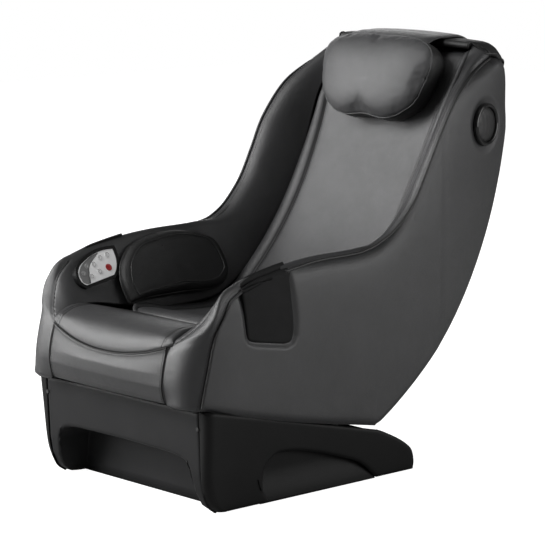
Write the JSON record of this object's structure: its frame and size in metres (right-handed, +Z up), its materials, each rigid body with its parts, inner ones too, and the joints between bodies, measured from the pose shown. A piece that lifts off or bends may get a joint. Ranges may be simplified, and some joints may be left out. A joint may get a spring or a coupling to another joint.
{
  "type": "massage chair",
  "caption": "Compact upholstered massage chair with a curved back, wing sides with round speakers, a flip-over head pillow, an arm control panel and a roller carriage on curved rails.",
  "frame": {"origin": "on the floor, under the middle of the chair's overall box", "axes": "+Z up, -Y towards the front of the chair, +X towards the sitter's left"},
  "size_m": [0.7044, 1.204, 1.13],
  "materials": {
    "frame_steel": "black powder coat",
    "bright_steel": "zinc plated",
    "base_plastic": "fine textured moulding",
    "foot_rubber": "plain",
    "pu_leather": "fine grain, satin",
    "pad_leather": "soft fine grain, satin",
    "pocket_fabric": "close woven, charcoal",
    "airbag_fabric": "coated cloth",
    "plywood": "plain birch ply",
    "gloss_black": "gloss",
    "panel_white": "satin film",
    "button_white": "satin film",
    "button_grey": "satin film",
    "button_red": "gloss",
    "circuit_board": "solder mask",
    "nylon": "plain",
    "roller_plastic": "plain",
    "motor_metal": "grey",
    "mesh_metal": "satin black",
    "equipment_plastic": "plain"
  },
  "bodies": {
    "chair": {"base_frame": "frame_steel", "rubber_feet": "foot_rubber", "base_front_cover": "base_plastic", "base_side_cover_left": "base_plastic", "base_side_cover_right": "base_plastic", "base_rear_cover": "base_plastic", "power_inlet": "equipment_plastic", "switch_housing": "equipment_plastic", "cover_screws": "bright_steel", "control_box": "equipment_plastic", "air_pump": "equipment_plastic", "body_frame": "frame_steel", "guide_rails": "bright_steel", "seat_pan": "plywood", "seat_cushion": "pu_leather", "front_apron": "pu_leather", "back_pad": "pad_leather", "side_shell_left": "pu_leather", "side_shell_right": "pu_leather", "speaker_housings": "gloss_black", "speaker_grilles": "mesh_metal", "speaker_cones": "equipment_plastic", "side_pockets": "pocket_fabric", "rear_cover": "pu_leather", "pillow_strap": "pu_leather", "arm_pad_left": "pu_leather", "arm_pad_right": "pu_leather", "wing_pad_left": "pu_leather", "wing_pad_right": "pu_leather", "hip_airbags": "airbag_fabric", "panel_bezel": "gloss_black", "panel_face": "panel_white", "panel_board": "circuit_board"},
    "carriage": {"carriage_frame": "frame_steel", "travel_motor": "motor_metal", "knead_motor": "motor_metal"},
    "guide_wheels_upper": {"guide_wheels_upper": "nylon"},
    "guide_wheels_lower": {"guide_wheels_lower": "nylon"},
    "drive_shaft": {"drive_shaft": "bright_steel"},
    "knead_shaft": {"knead_shaft": "bright_steel"},
    "massage_arm_left": {"massage_arm_left": "equipment_plastic"},
    "massage_arm_right": {"massage_arm_right": "equipment_plastic"},
    "massage_roller_upper_left": {"massage_roller_upper_left": "roller_plastic"},
    "massage_roller_upper_right": {"massage_roller_upper_right": "roller_plastic"},
    "massage_roller_lower_left": {"massage_roller_lower_left": "roller_plastic"},
    "massage_roller_lower_right": {"massage_roller_lower_right": "roller_plastic"},
    "head_pillow": {"head_pillow": "pad_leather"},
    "hip_cushion_left": {"hip_cushion_left": "pad_leather"},
    "hip_cushion_right": {"hip_cushion_right": "pad_leather"},
    "transport_wheel_left": {"transport_wheel_left": "nylon"},
    "transport_wheel_right": {"transport_wheel_right": "nylon"},
    "power_switch": {"power_switch": "gloss_black"},
    "button_power": {"button_power": "button_red"},
    "button_auto": {"button_auto": "button_white"},
    "button_knead": {"button_knead": "button_white"},
    "button_tap": {"button_tap": "button_white"},
    "button_heat": {"button_heat": "button_white"},
    "button_air": {"button_air": "button_white"},
    "button_up": {"button_up": "button_grey"},
    "button_down": {"button_down": "button_grey"}
  },
  "joints": [
    {"name": "carriage_travel", "type": "hinge", "parent": "chair", "child": "carriage", "pos_m": [0, -0.5515, 1.1704], "axis": [1, 0, 0], "range_deg": [0, 25]},
    {"name": "drive_shaft_spin", "type": "hinge", "parent": "carriage", "child": "drive_shaft", "pos_m": [0, 0.14847, 0.34794], "axis": [1, 0, 0], "range_deg": [-1151, 0]},
    {"name": "guide_wheels_upper_roll", "type": "hinge", "parent": "carriage", "child": "guide_wheels_upper", "pos_m": [0, 0.28593, 0.47268], "axis": [1, 0, 0], "range_deg": [-1973, 0]},
    {"name": "guide_wheels_lower_roll", "type": "hinge", "parent": "carriage", "child": "guide_wheels_lower", "pos_m": [0, 0.11657, 0.30913], "axis": [1, 0, 0], "range_deg": [-1973, 0]},
    {"name": "knead_shaft_spin", "type": "hinge", "parent": "carriage", "child": "knead_shaft", "pos_m": [0, 0.21571, 0.40319], "axis": [1, 0, 0], "continuous": true},
    {"name": "massage_arm_left_rock", "type": "hinge", "parent": "carriage", "child": "massage_arm_left", "pos_m": [0, 0.21571, 0.40319], "axis": [1, 0, 0], "range_deg": [-4, 4]},
    {"name": "massage_roller_upper_left_roll", "type": "hinge", "parent": "massage_arm_left", "child": "massage_roller_upper_left", "pos_m": [0, 0.22208, 0.49299], "axis": [1, 0, 0], "continuous": true},
    {"name": "massage_roller_lower_left_roll", "type": "hinge", "parent": "massage_arm_left", "child": "massage_roller_lower_left", "pos_m": [0, 0.12591, 0.39682], "axis": [1, 0, 0], "continuous": true},
    {"name": "massage_arm_right_rock", "type": "hinge", "parent": "carriage", "child": "massage_arm_right", "pos_m": [0, 0.21571, 0.40319], "axis": [1, 0, 0], "range_deg": [-4, 4]},
    {"name": "massage_roller_upper_right_roll", "type": "hinge", "parent": "massage_arm_right", "child": "massage_roller_upper_right", "pos_m": [0, 0.22208, 0.49299], "axis": [1, 0, 0], "continuous": true},
    {"name": "massage_roller_lower_right_roll", "type": "hinge", "parent": "massage_arm_right", "child": "massage_roller_lower_right", "pos_m": [0, 0.12591, 0.39682], "axis": [1, 0, 0], "continuous": true},
    {"name": "pillow_flip", "type": "hinge", "parent": "chair", "child": "head_pillow", "pos_m": [0, 0.462, 1.133], "axis": [-1, 0, 0], "range_deg": [0, 175]},
    {"name": "hip_cushion_left_push", "type": "slide", "parent": "chair", "child": "hip_cushion_left", "axis": [-0.8634, 0, 0.5045], "range_m": [0, 0.012]},
    {"name": "transport_wheel_left_roll", "type": "hinge", "parent": "chair", "child": "transport_wheel_left", "pos_m": [0.288, 0.162, 0.028], "axis": [1, 0, 0], "continuous": true},
    {"name": "hip_cushion_right_push", "type": "slide", "parent": "chair", "child": "hip_cushion_right", "axis": [0.8634, 0, 0.5045], "range_m": [0, 0.012]},
    {"name": "transport_wheel_right_roll", "type": "hinge", "parent": "chair", "child": "transport_wheel_right", "pos_m": [-0.288, 0.162, 0.028], "axis": [1, 0, 0], "continuous": true},
    {"name": "power_switch_rock", "type": "hinge", "parent": "chair", "child": "power_switch", "pos_m": [-0.11, 0.169, 0.074], "axis": [1, 0, 0], "range_deg": [-8, 8]},
    {"name": "button_power_press", "type": "slide", "parent": "chair", "child": "button_power", "axis": [-0.8634, 0, -0.5045], "range_m": [0, 0.001]},
    {"name": "button_auto_press", "type": "slide", "parent": "chair", "child": "button_auto", "axis": [-0.8634, 0, -0.5045], "range_m": [0, 0.001]},
    {"name": "button_knead_press", "type": "slide", "parent": "chair", "child": "button_knead", "axis": [-0.8634, 0, -0.5045], "range_m": [0, 0.001]},
    {"name": "button_tap_press", "type": "slide", "parent": "chair", "child": "button_tap", "axis": [-0.8634, 0, -0.5045], "range_m": [0, 0.001]},
    {"name": "button_heat_press", "type": "slide", "parent": "chair", "child": "button_heat", "axis": [-0.8634, 0, -0.5045], "range_m": [0, 0.001]},
    {"name": "button_air_press", "type": "slide", "parent": "chair", "child": "button_air", "axis": [-0.8634, 0, -0.5045], "range_m": [0, 0.001]},
    {"name": "button_up_press", "type": "slide", "parent": "chair", "child": "button_up", "axis": [-0.8634, 0, -0.5045], "range_m": [0, 0.001]},
    {"name": "button_down_press", "type": "slide", "parent": "chair", "child": "button_down", "axis": [-0.8634, 0, -0.5045], "range_m": [0, 0.001]}
  ],
  "couplings": [
    {"joint": "drive_shaft_spin", "follows": "carriage_travel", "ratio": -46},
    {"joint": "guide_wheels_upper_roll", "follows": "carriage_travel", "ratio": -78.893},
    {"joint": "guide_wheels_lower_roll", "follows": "carriage_travel", "ratio": -78.893}
  ]
}
